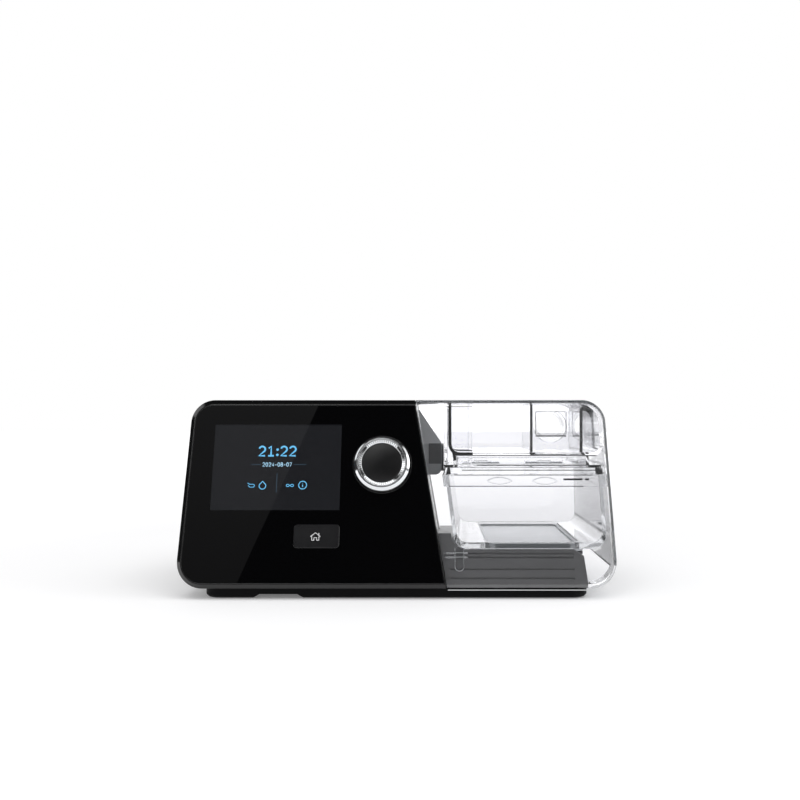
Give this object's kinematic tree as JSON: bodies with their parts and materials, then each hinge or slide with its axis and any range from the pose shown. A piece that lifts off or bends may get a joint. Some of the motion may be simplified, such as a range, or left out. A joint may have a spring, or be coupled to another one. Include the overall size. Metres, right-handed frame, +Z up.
{
  "type": "cpap machine",
  "caption": "Bedside CPAP machine: black console with display, dial and home key, and a clear humidifier tank that slides off its heated base and opens at a rear hinge.",
  "frame": {"origin": "on the table under the middle of the machine, centre of the bounding box's underside", "axes": "+X to the right as seen from the front, from the console towards the tank; +Y from the leaning front face to the back; +Z up"},
  "size_m": [0.261, 0.1442, 0.118],
  "materials": {
    "casing_plastic": "satin black ABS",
    "face_gloss": "gloss black face panel",
    "display_panel": "display panel, dark when off",
    "sheet_steel": "plain steel",
    "circuit_board": "solder mask",
    "component_black": "moulded component",
    "encoder_metal": "turned",
    "dial_chrome": "polished",
    "dial_black": "satin black",
    "key_grey": "satin dark grey",
    "blower_plastic": "moulded",
    "motor_steel": "plated can",
    "soft_black": "matte",
    "foam_grey": "open-cell foam",
    "filter_white": "felted fibre",
    "duct_silicone": "translucent grey silicone",
    "port_grey": "satin dark grey",
    "base_grey": "satin dark grey",
    "heater_alloy": "fine brushed",
    "heater_film": "polyimide film",
    "tank_clear": "clear moulded polycarbonate",
    "port_white": "frosted clear"
  },
  "bodies": {
    "console": {"main_casing": "casing_plastic", "front_bezel": "casing_plastic", "front_glass": "face_gloss", "display_module": "display_panel", "display_chassis": "sheet_steel", "control_board": "circuit_board", "encoder_body": "component_black", "home_switch": "component_black", "dial_surround": "casing_plastic", "main_board": "circuit_board", "card_socket": "component_black", "dc_jack": "component_black", "blower_lower": "blower_plastic", "blower_upper": "blower_plastic", "blower_motor": "motor_steel", "blower_mounts": "soft_black", "silencer_case": "blower_plastic", "silencer_lid": "blower_plastic", "silencer_foam": "foam_grey", "inlet_gasket": "soft_black", "blower_duct": "duct_silicone", "air_port": "port_grey", "port_seal": "duct_silicone", "base_plate": "casing_plastic", "rubber_feet": "soft_black", "base_screws": "sheet_steel", "humidifier_base": "base_grey", "heater_pad": "heater_film", "heater_film": "heater_film", "heater_plate": "heater_alloy"},
    "dial_plunger": {"encoder_sleeve": "encoder_metal"},
    "dial": {"dial_shaft": "encoder_metal", "dial_ring": "dial_chrome", "dial_cap": "dial_black"},
    "home_key": {"home_button": "key_grey"},
    "fan": {"impeller": "blower_plastic", "motor_shaft": "sheet_steel"},
    "filter_door": {"filter_cover": "casing_plastic", "air_filter": "filter_white"},
    "card": {"memory_card": "component_black"},
    "tank": {"tank_tub": "tank_clear", "tub_plate": "heater_alloy", "tub_plate_seal": "duct_silicone", "hinge_pins": "sheet_steel"},
    "lid": {"lid_shell": "tank_clear", "lid_tray": "tank_clear", "inlet_chimney": "tank_clear", "outlet_walls": "tank_clear", "lid_deck": "tank_clear", "lid_seal": "duct_silicone", "outlet_port": "port_white"}
  },
  "joints": [
    {"name": "dial_press", "type": "slide", "parent": "console", "child": "dial_plunger", "axis": [0, 0.9613, -0.2756], "range_m": [0, 0.0008], "stiffness_N_per_m": 1500, "springref_m": -0.0004},
    {"name": "dial_turn", "type": "hinge", "parent": "dial_plunger", "child": "dial", "pos_m": [-0.0093, -0.05185, 0.0785], "axis": [0, -0.9613, 0.2756], "continuous": true},
    {"name": "home_press", "type": "slide", "parent": "console", "child": "home_key", "axis": [0, 0.9613, -0.2756], "range_m": [0, 0.0005], "stiffness_N_per_m": 1500, "springref_m": -0.0004},
    {"name": "fan_spin", "type": "hinge", "parent": "console", "child": "fan", "pos_m": [-0.044, 0.0284, 0.08], "axis": [0, 0, 1], "continuous": true},
    {"name": "filter_door_pull", "type": "slide", "parent": "console", "child": "filter_door", "axis": [0, 1, 0], "range_m": [0, 0.018]},
    {"name": "card_pull", "type": "slide", "parent": "console", "child": "card", "axis": [-1, 0, 0], "range_m": [0, 0.022]},
    {"name": "tank_slide", "type": "slide", "parent": "console", "child": "tank", "axis": [1, 0, 0], "range_m": [0, 0.105]},
    {"name": "lid_hinge", "type": "hinge", "parent": "tank", "child": "lid", "pos_m": [0.079, 0.0606, 0.073], "axis": [-1, 0, 0], "range_deg": [0, 92]}
  ]
}
